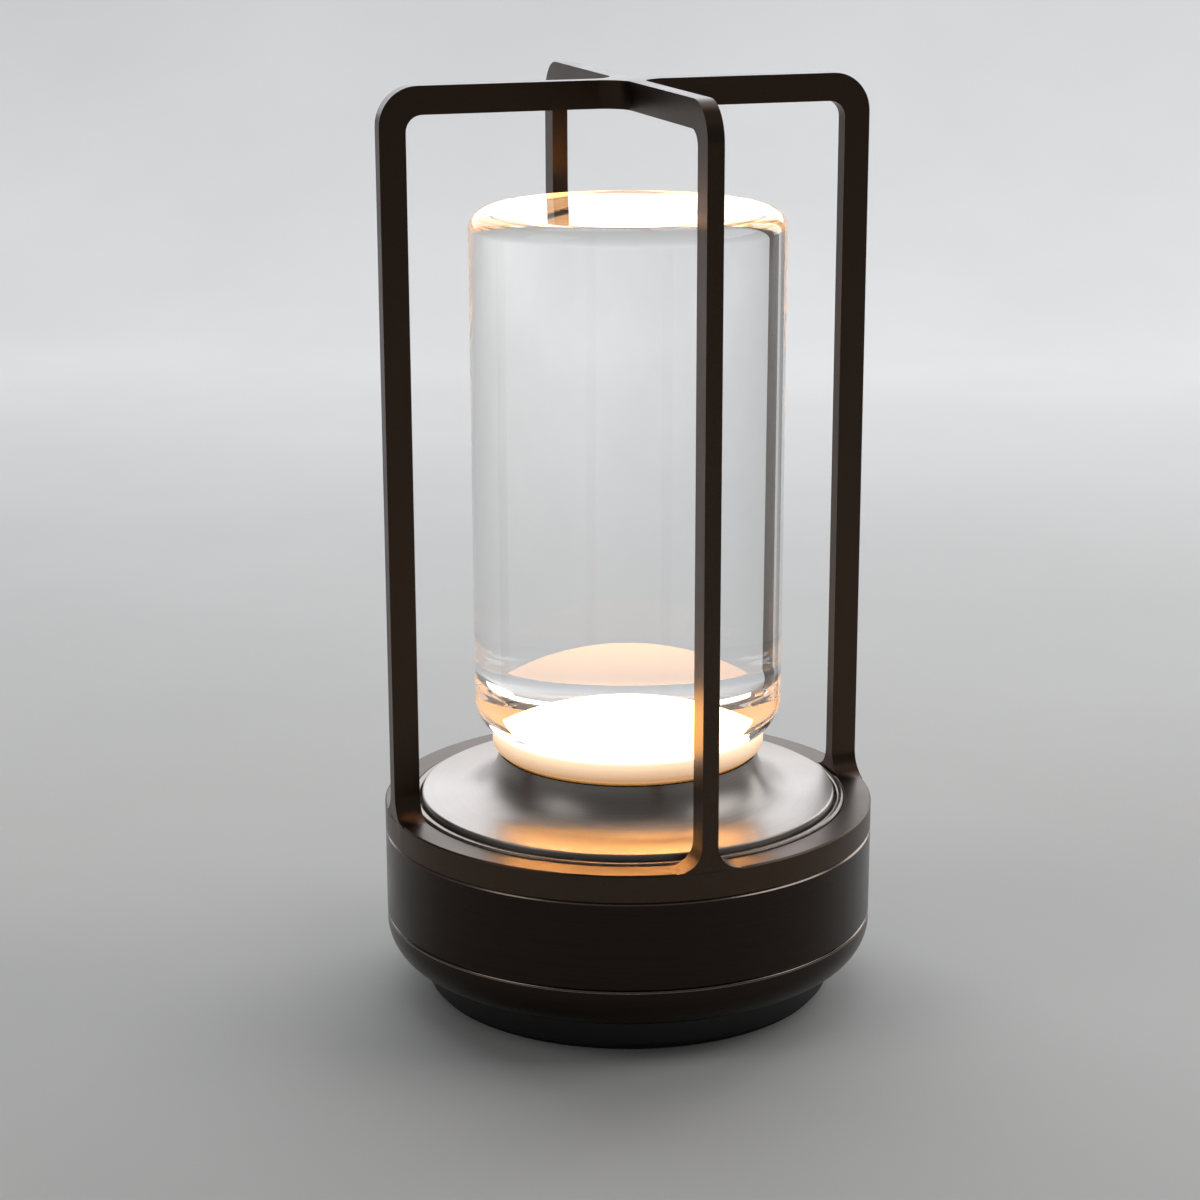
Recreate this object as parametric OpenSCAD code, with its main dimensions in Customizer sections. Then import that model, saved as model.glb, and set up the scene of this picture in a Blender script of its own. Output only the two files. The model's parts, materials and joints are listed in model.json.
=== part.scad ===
// Cordless table lamp: a solid glass cylinder on a lit dome, inside a four-armed carrying cage.
// Millimetres, +Z up, origin on the table under the middle of the foot.
// The arms stand on the X and Y axes, and the charging socket faces +Y.

/* [Overall] */
// Diameter of the base and of the cage
base_d = 92; // [90:1:104]
// Height from the table to the top of the cage
lamp_h = 170; // [140:1:220]

/* [Base] */
// Height of the foot below the base cap
foot_h = 6.3; // [3.5:0.1:8]
// How far the foot is set in from the side of the base
foot_inset = 7.7; // [6:0.1:9]
// Bevel round the lower edge of the foot plate
foot_bevel = 0.6; // [0.3:0.1:0.8]
// Thickness of the rubber foot pad
pad_t = 1.6; // [1.4:0.1:2.4]
// How deep the pad sits in the foot plate
pad_sink = 0.8; // [0.4:0.1:1]
// Width of the rubber pad ring
pad_w = 7; // [4:0.5:12]
// How far the pad is set in from the edge of the foot plate
pad_inset = 1.1; // [1:0.1:4]
// Height of the base cap
cap_h = 8.6; // [8:0.1:18]
// Radius of the rounded lower edge of the base cap
cap_edge_r = 7; // [3:0.1:8]
// Thickness of the base cap's floor
cap_floor_t = 2.5; // [2.2:0.1:4]
// Wall of the band
wall = 2.8; // [2.4:0.1:3.2]
// Height of the lip on the cap that centres the band
lip_h = 2; // [1:0.1:3]
// Thickness of that lip
lip_t = 1.6; // [1:0.1:2]
// Bevel on the edges beside the two seams
seam_bevel = 0.3; // [0.1:0.05:0.5]
// Thickness of the seam gaskets
gasket_t = 0.8; // [0.5:0.1:1.2]
// Width of the seam gaskets
gasket_w = 1.2; // [0.8:0.1:1.4]

/* [Cage] */
// Height of the cage ring
ring_h = 5.3; // [5:0.1:8]
// Width of the cage ring, seen from above
ring_w = 5.1; // [4.6:0.1:6]
// How far the arms are set in from the two faces of the ring
arm_inset = 0.15; // [0.1:0.05:0.4]
// Width of an arm, seen from outside
arm_w = 3; // [2.4:0.1:5]
// Height of the crossed top bars
bar_h = 5; // [4:0.1:7]
// Outer corner radius between an arm and its top bar
corner_out_r = 7; // [5:0.1:9]
// Inner corner radius between an arm and its top bar
corner_in_r = 3; // [2:0.1:5]
// Fillet between the side of an arm and the top of the ring
arm_fillet_r = 4.5; // [2:0.1:6]
// Fillet between the top bars where they cross
cross_fillet_r = 5; // [2:0.1:8]
// Space for the fingers between the glass and the top bars
finger_gap = 17.8; // [12:0.1:30]
// Bevel on the upper edges of the ring
ring_bevel = 0.3; // [0.1:0.05:0.5]
// Thickness of the hidden ledge inside the ring
ledge_t = 2.6; // [2:0.1:2.8]
// Width of that ledge
ledge_w = 4.6; // [4.4:0.1:5.4]

/* [Press plate] */
// Width of the bezel ring between the cage ring and the gap
bezel_w = 1.4; // [1:0.1:2]
// How far the bezel ring stands above the cage ring
bezel_proud = 0.4; // [0.2:0.1:1]
// Gap round the press plate
plate_gap = 0.5; // [0.35:0.05:1]
// How far the press plate stands above the bezel ring
plate_proud = 1; // [0.8:0.1:2]
// Thickness of the press plate
plate_t = 3.1; // [2.5:0.1:3.3]
// Bevel round the upper edge of the press plate
plate_bevel = 0.3; // [0.1:0.05:0.6]
// Radius of the hollow flare from the plate to its neck
flare_r = 7.8; // [6.5:0.1:10]
// Outer radius of the neck
neck_r = 24.4; // [23:0.1:25]
// Wall of the neck
neck_wall = 1.7; // [1.2:0.1:2]
// Straight lip at the top of the neck
neck_lip = 0.2; // [0.1:0.1:1]
// How far the press plate travels down
press_travel = 0.5; // [0.3:0.05:0.6]
// Outer radius of the guide bush
bush_r = 11; // [10.5:0.1:12]
// Thickness of the flange under the bush
bush_flange_t = 0.8; // [0.6:0.1:1]
// Width of the flange under the bush
bush_flange_w = 1.6; // [1:0.1:2]
// Wire diameter of the return spring
spring_wire_d = 0.8; // [0.5:0.05:0.8]
// Turns of the return spring
spring_turns = 1.75; // [1.25:0.25:1.75]

/* [Light] */
// Gap between the neck and the diffuser
neck_gap = 0.4; // [0.3:0.1:1]
// Radius of the opal diffuser
diffuser_r = 25.5; // [25:0.1:27]
// Thickness of the diffuser
diffuser_t = 3; // [2.5:0.1:5]
// Bevel round the lower edge of the diffuser
diffuser_bevel = 0.5; // [0.2:0.1:1]
// Height of the step that centres the diffuser in the cup
diffuser_step = 0.8; // [0.4:0.1:1]
// Radius of the lit dome where it rises from the diffuser
dome_r = 16.5; // [14:0.1:18]
// Height of the lit dome
dome_h = 9.3; // [5:0.1:11]
// Wall of the lit dome
dome_wall = 2; // [1.5:0.1:2.5]
// Radius of the glass cylinder
glass_r = 28.75; // [27:0.25:33]
// Radius of the rounded lower edge of the glass
glass_foot_r = 5; // [4:0.1:7]
// Radius of the rounded top edge of the glass
glass_top_r = 3.5; // [1:0.1:6]
// Radius of the post that carries the light
post_r = 8; // [7.5:0.1:9]
// Radius of the wire hole through the post
post_bore_r = 3; // [2.6:0.1:3.5]
// Shoulder of the post at the deck and at the cup
post_step = 2; // [1.5:0.1:2.5]
// Thickness of the floor of the lamp cup
cup_floor_t = 3.5; // [3:0.1:4]
// Wall of the lamp cup
cup_wall = 1.6; // [1.2:0.1:2.5]
// Side of a light-emitting chip
led_side = 3; // [2:0.1:4]
// Height of a light-emitting chip
led_h = 0.7; // [0.5:0.1:1]
// Number of light-emitting chips
led_count = 10; // [6:1:12]
// Distance from the edge of the light board to the middle of the chips
led_inset = 4.5; // [3:0.1:6]
// Diameter of the wires to the light board
lead_d = 1.3; // [1:0.1:1.6]

/* [Inside the base] */
// Thickness of the chassis deck
deck_t = 1.9; // [1.8:0.1:2.6]
// Thickness of the circuit boards
board_t = 1.6; // [1:0.1:2]
// Height of the bosses between the deck and the control board
board_gap = 0.5; // [0.4:0.1:1]
// Room between the battery cells and the control board
cell_room = 1.2; // [1.2:0.1:4]
// Thickness of the cradle under the cells
cradle_t = 0.8; // [0.6:0.1:2]
// Height of the battery cradle
cradle_h = 5.5; // [4:0.1:6]
// Diameter of a battery cell
cell_d = 16.6; // [16:0.1:18.6]
// Length of a battery cell
cell_l = 65; // [60:0.5:66]
// Gap between the two cells
cell_gap = 0.4; // [0.2:0.1:0.8]
// Thickness of the metal tabs on the ends of the cells
tab_t = 0.3; // [0.2:0.05:0.5]
// Radius of the chassis standoffs
standoff_r = 3.4; // [3:0.1:3.8]
// Side of the switch
switch_side = 6; // [5:0.1:7]
// Height of the switch without its plunger
switch_h = 3.5; // [3:0.1:4]
// Radius of the switch plunger
plunger_r = 1.75; // [1.5:0.05:2]
// Distance from the middle of the lamp to the switch
switch_y = 21; // [20:0.5:26]
// Width of the charging socket
socket_w = 8.94; // [8:0.01:10]
// Height of the charging socket
socket_h = 3.26; // [3:0.01:3.5]
// Length of the charging socket
socket_l = 7.35; // [6.5:0.05:8]
// Skin of the band left round the charging socket
port_skin = 1.2; // [0.8:0.1:1.6]

/* [Screws] */
// Diameter of the base screws
base_screw_d = 3; // [2.5:0.1:3.5]
// Diameter of the cage screws
cage_screw_d = 2.5; // [2:0.1:2.6]
// Diameter of the board screws
board_screw_d = 2; // [1.6:0.1:2.2]

/* [Hidden] */
$fn = 96;

// Clearance between pieces that are pressed, screwed or glued together
fit = 0.05;
// Clearance between pieces that drop into each other
loose = 0.2;
// Radial clearance between the bush and the post
run_fit = 0.05;
// Left between the bush and the collar at the bottom of the travel
stop_gap = 0.05;
// Left at the top stop and above the switch plunger
rest_gap = 0.1;
// Left between the spring and its two seats
spring_seat = 0.3;
// Left beyond the tip of a screw in its hole
tip_room = 1;
// How far a cutter passes the face that it cuts
over = 1;

// Heights, from the table up
foot_z = pad_t - pad_sink;
cap_top = foot_h + cap_h;
cap_floor = foot_h + cap_floor_t;
cell_z = cap_floor + cradle_t + cell_d / 2;
board_z = cap_floor + cradle_t + cell_d + cell_room;
board_top = board_z + board_t;
deck_z = board_top + board_gap;
band_top = deck_z + deck_t;
ring_top = band_top + ring_h;
ledge_top = band_top + ledge_t;
bezel_top = ring_top + bezel_proud;
plate_top = bezel_top + plate_proud;
plate_z = plate_top - plate_t;
flare_top = plate_top + flare_r;
neck_top = flare_top + neck_lip;
diffuser_z = neck_top + neck_gap;
glass_z = diffuser_z + diffuser_t;
bar_z = lamp_h - bar_h;
glass_top = bar_z - finger_gap;
bush_z = plate_z - bush_flange_t;
bush_top = plate_top + loose;
collar_top = bush_z - press_travel - stop_gap;
cup_z = bush_top + rest_gap;
cup_floor = cup_z + cup_floor_t;
led_top = cup_floor + board_t;

// Radii, from the outside in
base_r = base_d / 2;
foot_r = base_r - foot_inset;
pad_r = foot_r - pad_inset;
wall_r = base_r - wall;
lip_r = wall_r - fit;
lip_in_r = lip_r - lip_t;
gasket_r = base_r - wall / 2;
ring_in_r = base_r - ring_w;
ledge_in_r = ring_in_r - ledge_w;
bezel_r = ring_in_r - fit;
bezel_in_r = bezel_r - bezel_w;
plate_r = bezel_in_r - plate_gap;
flare_mid_r = neck_r + flare_r;
neck_in_r = neck_r - neck_wall;
cup_r = neck_in_r - plate_gap;
cup_in_r = cup_r - cup_wall;
led_board_r = cup_in_r - loose;
collar_r = bush_r + bush_flange_w;
tenon_r = post_r - post_step;
spigot_r = post_bore_r + post_step;

// Ball that the dome is a cap of
ball_r = (dome_r * dome_r + dome_h * dome_h) / (2 * dome_h);
ball_z = glass_z + dome_h - ball_r;

// Arms of the cage
arm_out = base_r - arm_inset;
arm_in = ring_in_r + arm_inset;

// Radius and height of the three kinds of screw head, as shares of the screw's diameter
low_head = [0.9, 0.4];
flush_head = [0.95, 0.48];
pan_head = [0.95, 0.5];

// Screws: heads and shanks grow with the screw's diameter
base_screw_r = base_screw_d / 2;
base_head_r = base_screw_d * low_head[0];
base_head_h = base_screw_d * low_head[1];
base_thread_l = 7;
cage_screw_r = cage_screw_d / 2;
cage_head_r = cage_screw_d * flush_head[0];
cage_head_h = cage_screw_d * flush_head[1];
board_screw_r = board_screw_d / 2;
board_head_r = board_screw_d * pan_head[0];
board_head_h = board_screw_d * pan_head[1];
deck_skin = 0.5;
cup_skin = 1;
board_thread_l = deck_t - deck_skin;
led_thread_l = cup_floor_t - cup_skin - tip_room;
cage_screw_pcr = ledge_in_r + ledge_w / 2;
screw_cover = 1;
standoff_pcr = foot_r - base_head_r - loose - screw_cover;
board_screw_pcr = 24;
led_screw_pcr = 10;

// Control board, nut and wires
nut_t = 2.4;
nut_wall = 3.2;
nut_r = spigot_r + nut_wall;
nut_room = 3;
board_hole_r = nut_r + nut_room;
board_inset = 2.2;
board_r = wall_r - board_inset;
lead_bend_r = 2;
lead_drop = 1.8;
lead_z = board_z - lead_drop;
lead_gap = 0.9;
lead_y = (lead_d + lead_gap) / 2;
plug_inset = 1.5;
plug_x = board_hole_r + plug_inset;
plug_size = [5, 6, 2.6];
boss_wall = 1.6;
boss_r = board_screw_r + boss_wall;

// Larger components under the control board, beside the cells: radius and height, or three sides
part_gap = 6;
coil_size = [3.2, 3];
coil_x = -11;
can_size = [2.5, 3.4];
can_x = 13;
chip_size = [7, 5, 1];

// How deep the plunger reaches into the switch
plunger_sink = 0.9;

// Charging socket
socket_z = board_z - socket_h / 2;
socket_mouth = base_r - port_skin - loose;
socket_wall = 0.3;
socket_back = 1.2;
pocket_room = 0.5;
tongue = [6.7, 0.7];
tongue_inset = 1;

// Battery
cell_r = cell_d / 2;
cell_y = (cell_d + cell_gap) / 2;
button_h = 1;
button_r = 3;
tab_h = 7;
tab_side = 4;
cradle_wall = 2;
cradle_rim = 1;
tab_x = cell_l / 2 + tab_t;

module bar2d(r0, r1, z0, z1) {
    translate([r0, z0]) square([r1 - r0, z1 - z0]);
}

module bevel2d(r, z, size) {
    translate([r, z]) rotate(45) square(size * sqrt(2), center = true);
}

module stadium2d(w, h) {
    square([w - h, h], center = true);
    for (side = [-1, 1]) translate([side * (w - h) / 2, 0]) circle(h / 2);
}

module around(count, start, radius) {
    for (i = [0 : count - 1]) rotate(start + i * 360 / count) translate([radius, 0, 0]) children();
}

// Outline of an arch, open at the bottom, with rounded upper corners
module arch2d(half_w, z0, z1, r) {
    translate([-half_w, z0]) square([2 * half_w, z1 - r - z0]);
    translate([r - half_w, z0]) square([2 * (half_w - r), z1 - z0]);
    for (side = [-1, 1]) translate([side * (half_w - r), z1 - r]) circle(r);
}

// Hollow fillet in the corner between two faces that meet at the point (x, y)
module fillet2d(x, y, r) {
    difference() {
        translate([x - over, y - over]) square(r + over);
        translate([x + r, y + r]) circle(r);
    }
}

// One of the two arches that make the arms and the top bars
module arch() {
    foot = band_top + ring_h / 2;
    rotate([90, 0, 0]) linear_extrude(arm_w, center = true) difference() {
        arch2d(arm_out, foot, lamp_h, corner_out_r);
        arch2d(arm_in, foot - over, bar_z, corner_in_r);
    }
}

// Fillets on both sides of one arm, where it grows out of the ring
module arm_fillets() {
    for (side = [0, 1]) mirror([0, side, 0])
        translate([arm_in, 0, 0]) rotate([90, 0, 90]) linear_extrude(arm_out - arm_in)
            fillet2d(arm_w / 2, ring_top, arm_fillet_r);
}

module cage_ring() {
    rotate_extrude() difference() {
        union() {
            bar2d(ring_in_r, base_r, band_top, ring_top);
            bar2d(ledge_in_r, base_r - seam_bevel - over, band_top, ledge_top);
        }
        bevel2d(base_r, band_top, seam_bevel);
        bevel2d(base_r, ring_top, ring_bevel);
        bevel2d(ring_in_r, ring_top, ring_bevel);
    }
}

module cage() {
    color("#2b2421") difference() {
        union() {
            cage_ring();
            for (turn = [0, 90]) rotate(turn) arch();
            intersection() {
                translate([0, 0, band_top]) cylinder(r = base_r, h = lamp_h - band_top);
                for (turn = [0 : 90 : 270]) rotate(turn) arm_fillets();
            }
            translate([0, 0, bar_z]) linear_extrude(bar_h) for (turn = [0 : 90 : 270])
                rotate(turn) fillet2d(arm_w / 2, arm_w / 2, cross_fillet_r);
        }
        around(4, 0, cage_screw_pcr) translate([0, 0, band_top - over])
            cylinder(r = cage_screw_r + fit, h = ledge_t + 2 * over);
    }
}

module cage_gasket() {
    color("#151515") rotate_extrude()
        bar2d(gasket_r - gasket_w / 2, gasket_r + gasket_w / 2, band_top - gasket_t, band_top);
}

module bezel_ring() {
    color("#6b625c") rotate_extrude() difference() {
        bar2d(bezel_in_r, bezel_r, ledge_top, bezel_top);
        bevel2d(bezel_in_r, bezel_top, ring_bevel);
        bevel2d(bezel_r, bezel_top, ring_bevel);
    }
}

// Groove for a seam gasket, cut down from the height z
module gasket_groove2d(z) {
    bar2d(gasket_r - gasket_w / 2 - fit, gasket_r + gasket_w / 2 + fit, z - gasket_t, z + over);
}

module body_band() {
    pocket_w = socket_w + 2 * (loose + pocket_room);
    pocket_h = socket_h + 2 * (loose + pocket_room);
    color("#352c28") difference() {
        rotate_extrude() difference() {
            bar2d(wall_r, base_r, cap_top, band_top);
            bevel2d(base_r, cap_top, seam_bevel);
            bevel2d(base_r, band_top, seam_bevel);
            gasket_groove2d(band_top);
        }
        translate([-pocket_w / 2, 0, socket_z - pocket_h / 2])
            cube([pocket_w, base_r - port_skin, pocket_h]);
        translate([0, socket_mouth - over, socket_z]) rotate([-90, 0, 0])
            linear_extrude(port_skin + loose + 2 * over)
                stadium2d(socket_w + 2 * loose, socket_h + 2 * loose);
    }
}

module base_gasket() {
    color("#151515") rotate_extrude()
        bar2d(gasket_r - gasket_w / 2, gasket_r + gasket_w / 2, cap_top - gasket_t, cap_top);
}

module base_cap() {
    color("#2e2623") difference() {
        rotate_extrude() difference() {
            union() {
                bar2d(0, base_r, foot_h + cap_edge_r, cap_top);
                bar2d(0, base_r - cap_edge_r, foot_h, cap_top);
                intersection() {
                    translate([base_r - cap_edge_r, foot_h + cap_edge_r]) circle(cap_edge_r);
                    bar2d(0, base_r, foot_h, cap_top);
                }
                bar2d(lip_in_r - over, lip_r, cap_top - over, cap_top + lip_h);
            }
            translate([-over, cap_floor]) square([lip_in_r + over, cap_h + lip_h]);
            bevel2d(base_r, cap_top, seam_bevel);
            gasket_groove2d(cap_top);
        }
        around(4, 45, standoff_pcr) {
            translate([0, 0, foot_h - over]) cylinder(r = base_screw_r + loose, h = cap_floor_t + 2 * over);
            translate([0, 0, foot_h - over]) cylinder(r = base_head_r + loose, h = base_head_h + fit + over);
        }
    }
}

module foot_plate() {
    color("#1b1a1a") rotate_extrude() difference() {
        bar2d(0, foot_r, foot_z, foot_h);
        bar2d(pad_r - pad_w - fit, pad_r + fit, foot_z - over, pad_t);
        bevel2d(foot_r, foot_z, foot_bevel);
    }
}

module foot_pad() {
    color("#101010") rotate_extrude() bar2d(pad_r - pad_w, pad_r, 0, pad_t);
}

module chassis() {
    color("#4a4a4c") difference() {
        union() {
            rotate_extrude() {
                bar2d(spigot_r + fit, wall_r - loose, deck_z, band_top);
                bar2d(post_r + loose, collar_r, deck_z, collar_top);
            }
            around(4, 45, standoff_pcr) translate([0, 0, cap_floor])
                cylinder(r = standoff_r, h = deck_z - cap_floor + deck_t / 2);
            around(3, 90, board_screw_pcr) translate([0, 0, board_top])
                cylinder(r = boss_r, h = board_gap + deck_t / 2);
        }
        around(4, 45, standoff_pcr) translate([0, 0, cap_floor - over])
            cylinder(r = base_screw_r + fit, h = base_thread_l + tip_room + over);
        around(3, 90, board_screw_pcr) translate([0, 0, board_top - over])
            cylinder(r = board_screw_r + fit, h = board_gap + board_thread_l + fit + over);
        around(4, 0, cage_screw_pcr) {
            translate([0, 0, deck_z - over]) cylinder(r = cage_screw_r + fit, h = deck_t + 2 * over);
            translate([0, 0, deck_z])
                cylinder(r1 = cage_head_r + fit, r2 = cage_screw_r + fit, h = cage_head_h);
            translate([0, 0, deck_z - over]) cylinder(r = cage_head_r + fit, h = over);
        }
        translate([0, -switch_y, deck_z + deck_t / 2])
            cube([switch_side + 2 * loose, switch_side + 2 * loose, deck_t + 2 * over], center = true);
    }
}

module center_post() {
    color("#b9bbbd") rotate_extrude() {
        bar2d(post_bore_r, spigot_r, deck_z - nut_t - loose, band_top + over);
        bar2d(post_bore_r, post_r, band_top, cup_z);
        bar2d(post_bore_r, tenon_r, cup_z - over, cup_floor);
    }
}

module post_nut() {
    color("#c9b26a") translate([0, 0, deck_z - nut_t]) difference() {
        cylinder(r = nut_r, h = nut_t, $fn = 6);
        translate([0, 0, -over]) cylinder(r = spigot_r + fit, h = nut_t + 2 * over);
    }
}

module lamp_cup() {
    color("#8f9194") difference() {
        rotate_extrude() {
            bar2d(tenon_r + fit, cup_r, cup_z, cup_floor);
            bar2d(cup_in_r, cup_r, cup_z, diffuser_z);
        }
        around(2, 90, led_screw_pcr) translate([0, 0, cup_z + cup_skin])
            cylinder(r = board_screw_r + fit, h = cup_floor_t + over);
    }
}

module led_board() {
    color("#e9e9e4") difference() {
        translate([0, 0, cup_floor]) cylinder(r = led_board_r, h = board_t);
        around(2, 90, led_screw_pcr) translate([0, 0, cup_floor - over])
            cylinder(r = board_screw_r + fit, h = board_t + 2 * over);
    }
}

module led_chips() {
    color("#f2d46b") around(led_count, 0, led_board_r - led_inset)
        translate([0, 0, led_top + led_h / 2]) cube([led_side, led_side, led_h], center = true);
}

// Pan-head screw with its head's underside at z = 0 and its shank upwards
module pan_screw(shank_r, shank_l, head_r, head_h) {
    translate([0, 0, -head_h]) cylinder(r = head_r, h = head_h);
    translate([0, 0, -head_h / 2]) cylinder(r = shank_r, h = shank_l + head_h / 2);
}

module led_screws() {
    color("#9a9da0") around(2, 90, led_screw_pcr) translate([0, 0, led_top]) rotate([180, 0, 0])
        pan_screw(board_screw_r, board_t + led_thread_l, board_head_r, board_head_h);
}

module led_leads() {
    upright_z = lead_z + lead_bend_r;
    color("#b02a22") for (side = [-1, 1]) translate([0, side * lead_y, 0]) {
        translate([0, 0, upright_z]) cylinder(d = lead_d, h = cup_floor - upright_z);
        translate([lead_bend_r, 0, upright_z]) rotate([90, 0, 0]) rotate(180)
            rotate_extrude(angle = 90) translate([lead_bend_r, 0]) circle(d = lead_d);
        translate([lead_bend_r, 0, lead_z]) rotate([0, 90, 0])
            cylinder(d = lead_d, h = plug_x - lead_bend_r);
    }
}

module led_plug() {
    color("#eeece4") translate([plug_x, -plug_size.y / 2, board_z - plug_size.z]) cube(plug_size);
}

module dome_ball(grow) {
    translate([0, 0, ball_z]) sphere(r = ball_r + grow);
}

module diffuser() {
    color("#fff4e2") difference() {
        union() {
            rotate_extrude() difference() {
                union() {
                    bar2d(0, diffuser_r, diffuser_z, glass_z);
                    bar2d(0, cup_in_r - fit, diffuser_z - diffuser_step, glass_z);
                }
                bevel2d(diffuser_r, diffuser_z, diffuser_bevel);
            }
            intersection() {
                dome_ball(0);
                translate([0, 0, diffuser_z]) cylinder(r = diffuser_r - over, h = diffuser_t + dome_h + over);
            }
        }
        dome_ball(-dome_wall);
    }
}

module glass_cylinder() {
    color("#dfe9ec", 0.4) difference() {
        rotate_extrude() {
            bar2d(0, glass_r, glass_z + glass_foot_r, glass_top - glass_top_r);
            bar2d(0, glass_r - glass_foot_r, glass_z, glass_z + glass_foot_r + over);
            bar2d(0, glass_r - glass_top_r, glass_top - glass_top_r - over, glass_top);
            translate([glass_r - glass_foot_r, glass_z + glass_foot_r]) circle(glass_foot_r);
            translate([glass_r - glass_top_r, glass_top - glass_top_r]) circle(glass_top_r);
        }
        dome_ball(fit);
    }
}

module press_plate() {
    color("#8d8680") rotate_extrude() difference() {
        union() {
            bar2d(bush_r + fit, plate_r, plate_z, plate_top);
            difference() {
                bar2d(neck_in_r, flare_mid_r, plate_z + plate_t / 2, flare_top);
                translate([flare_mid_r, flare_top]) circle(flare_r);
            }
            bar2d(neck_in_r, neck_r, flare_top - flare_r / 2, neck_top);
        }
        bevel2d(plate_r, plate_top, plate_bevel);
    }
}

module guide_bush() {
    color("#e6e2d8") rotate_extrude() {
        bar2d(post_r + run_fit, bush_r, bush_z, bush_top);
        bar2d(post_r + run_fit, collar_r, bush_z, plate_z);
    }
}

// Open coil, swept as one tube from seat to seat
module return_spring() {
    sides = 8;
    rings_per_turn = 24;
    rings = round(rings_per_turn * spring_turns);
    coil_r = collar_r + loose + spring_wire_d;
    wire_r = spring_wire_d / 2;
    low = band_top + spring_seat + wire_r;
    rise = plate_z - band_top - 2 * spring_seat - spring_wire_d;
    points = [for (i = [0 : rings], k = [0 : sides - 1])
        let (turn = 360 * spring_turns * i / rings, side = 360 * k / sides,
             r = coil_r + wire_r * cos(side))
        [r * cos(turn), r * sin(turn), low + rise * i / rings + wire_r * sin(side)]];
    skin = [for (i = [0 : rings - 1], k = [0 : sides - 1])
        let (a = i * sides + k, b = i * sides + (k + 1) % sides)
        each [[a, b, a + sides], [b, b + sides, a + sides]]];
    caps = [for (k = [1 : sides - 2]) each [[0, k + 1, k],
        [rings * sides, rings * sides + k, rings * sides + k + 1]]];
    color("#a9abad") polyhedron(points, concat(skin, caps));
}

module switch_body() {
    color("#1f1f20") translate([0, -switch_y, board_top]) difference() {
        translate([-switch_side / 2, -switch_side / 2, 0]) cube([switch_side, switch_side, switch_h]);
        translate([0, 0, switch_h - plunger_sink - press_travel - rest_gap])
            cylinder(r = plunger_r + rest_gap, h = switch_h);
    }
}

module switch_plunger() {
    low = board_top + switch_h - plunger_sink;
    color("#d8d4c8") translate([0, -switch_y, low]) cylinder(r = plunger_r, h = plate_z - rest_gap - low);
}

module main_board() {
    color("#1f5a3a") difference() {
        translate([0, 0, board_z]) cylinder(r = board_r, h = board_t);
        translate([0, 0, board_z - over]) {
            cylinder(r = board_hole_r, h = board_t + 2 * over);
            around(4, 45, standoff_pcr) cylinder(r = standoff_r + loose, h = board_t + 2 * over);
            around(3, 90, board_screw_pcr) cylinder(r = board_screw_r + fit, h = board_t + 2 * over);
        }
    }
}

module board_parts() {
    part_y = cell_y + cell_r + part_gap;
    color("#28282a") {
        translate([coil_x, part_y, board_z - coil_size[1]]) cylinder(r = coil_size[0], h = coil_size[1]);
        translate([can_x, part_y, board_z - can_size[1]]) cylinder(r = can_size[0], h = can_size[1]);
        translate([-chip_size.x / 2, -part_y - chip_size.y / 2, board_z - chip_size.z]) cube(chip_size);
    }
}

module board_screws() {
    color("#9a9da0") around(3, 90, board_screw_pcr) translate([0, 0, board_z])
        pan_screw(board_screw_r, board_t + board_gap + board_thread_l, board_head_r, board_head_h);
}

module usb_socket() {
    color("#b8babd") translate([0, socket_mouth, socket_z]) rotate([90, 0, 0]) {
        difference() {
            linear_extrude(socket_l) stadium2d(socket_w, socket_h);
            translate([0, 0, -over]) linear_extrude(socket_l - socket_back + over)
                stadium2d(socket_w - 2 * socket_wall, socket_h - 2 * socket_wall);
        }
        translate([0, 0, tongue_inset]) linear_extrude(socket_l - tongue_inset)
            square(tongue, center = true);
    }
}

module cells(radius, length) {
    for (side = [-1, 1]) translate([-length / 2, side * cell_y, cell_z]) rotate([0, 90, 0])
        cylinder(r = radius, h = length);
}

module battery_cells() {
    color("#3a6ea5") {
        translate([-button_h / 2, 0, 0]) cells(cell_r, cell_l - button_h);
        translate([cell_l / 2 - button_h, 0, 0]) cells(button_r, 2 * button_h);
    }
}

module battery_tabs() {
    tab_w = 2 * (cell_y + tab_side);
    color("#c4c2ba") for (side = [-1, 1])
        translate([side * (cell_l + tab_t) / 2, 0, cell_z]) cube([tab_t, tab_w, tab_h], center = true);
}

module battery_leads() {
    color("#b02a22") for (side = [-1, 1])
        translate([-tab_x - lead_d / 2, side * cell_y, cell_z]) cylinder(d = lead_d, h = board_z - cell_z);
}

module battery_cradle() {
    half_l = tab_x + fit + cradle_wall;
    half_w = cell_y + cell_r + cradle_rim;
    color("#26282b") difference() {
        intersection() {
            translate([0, 0, cap_floor]) cylinder(r = lip_in_r - loose, h = cradle_h);
            translate([-half_l, -half_w, cap_floor]) cube([2 * half_l, 2 * half_w, cradle_h]);
        }
        cells(cell_r + fit, 2 * (tab_x + fit));
        around(4, 45, standoff_pcr) translate([0, 0, cap_floor - over])
            cylinder(r = standoff_r + loose, h = cradle_h + 2 * over);
    }
}

module cage_screws() {
    color("#9a9da0") around(4, 0, cage_screw_pcr) translate([0, 0, deck_z]) {
        cylinder(r1 = cage_head_r, r2 = cage_screw_r, h = cage_head_h);
        cylinder(r = cage_screw_r, h = deck_t + ledge_t - loose);
    }
}

module base_screws() {
    color("#9a9da0") around(4, 45, standoff_pcr) translate([0, 0, foot_h + base_head_h + fit])
        pan_screw(base_screw_r, cap_floor_t - base_head_h + base_thread_l, base_head_r, base_head_h);
}

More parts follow.
